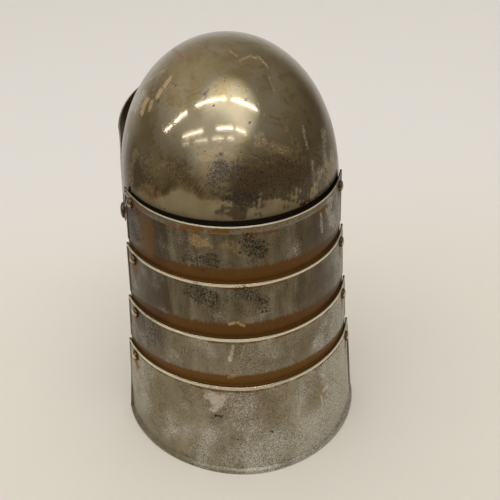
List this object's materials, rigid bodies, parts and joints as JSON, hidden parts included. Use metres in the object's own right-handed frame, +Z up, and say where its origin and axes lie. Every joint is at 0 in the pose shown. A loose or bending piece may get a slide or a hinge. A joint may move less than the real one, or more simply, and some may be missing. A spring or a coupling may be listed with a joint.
{
  "type": "lobster-tail pot helmet",
  "caption": "Round steel helmet with a pivoting peak and a long neck guard of overlapping hinged plates, standing on the rim of its neck guard.",
  "frame": {"origin": "middle of the helmet's footprint box, on the surface that it stands on", "axes": "+Z up, the face towards -Y and the neck guard towards +Y, +X the wearer's left"},
  "size_m": [0.2276, 0.287, 0.37],
  "materials": {
    "skull_steel": "old polished steel with an olive-brown tarnish, pits and scratches",
    "plate_steel": "worn grey steel with fine pitting, and brown unpolished bands above each plate's edge",
    "peak_steel": "worn grey steel",
    "rivet_steel": "polished steel, rusty at the foot of each head"
  },
  "bodies": {
    "skull": {"skull": "skull_steel", "peak_pivot_left": "rivet_steel", "peak_pivot_right": "rivet_steel"},
    "peak": {"peak": "peak_steel"},
    "neck_plate_1": {"neck_plate_1": "plate_steel", "plate_1_rivet_left": "rivet_steel", "plate_1_rivet_right": "rivet_steel"},
    "neck_plate_2": {"neck_plate_2": "plate_steel", "plate_2_rivet_left": "rivet_steel", "plate_2_rivet_right": "rivet_steel"},
    "neck_plate_3": {"neck_plate_3": "plate_steel", "plate_3_rivet_left": "rivet_steel", "plate_3_rivet_right": "rivet_steel"},
    "neck_plate_4": {"neck_plate_4": "plate_steel", "plate_4_rivet_left": "rivet_steel", "plate_4_rivet_right": "rivet_steel"}
  },
  "joints": [
    {"name": "peak_swing", "type": "hinge", "parent": "skull", "child": "peak", "pos_m": [0, 0.00769, 0.213], "axis": [1, 0, 0], "range_deg": [-4, 40]},
    {"name": "plate_1_hinge", "type": "hinge", "parent": "skull", "child": "neck_plate_1", "pos_m": [0, 0.05695, 0.2402], "axis": [1, 0, 0], "range_deg": [-1.5, 9]},
    {"name": "plate_2_hinge", "type": "hinge", "parent": "neck_plate_1", "child": "neck_plate_2", "pos_m": [0, 0.05108, 0.18189], "axis": [1, 0, 0], "range_deg": [-1.5, 7]},
    {"name": "plate_3_hinge", "type": "hinge", "parent": "neck_plate_2", "child": "neck_plate_3", "pos_m": [0, 0.04705, 0.12507], "axis": [1, 0, 0], "range_deg": [-1.5, 6]},
    {"name": "plate_4_hinge", "type": "hinge", "parent": "neck_plate_3", "child": "neck_plate_4", "pos_m": [0, 0.0421, 0.07498], "axis": [1, 0, 0], "range_deg": [-1.5, 7]}
  ]
}
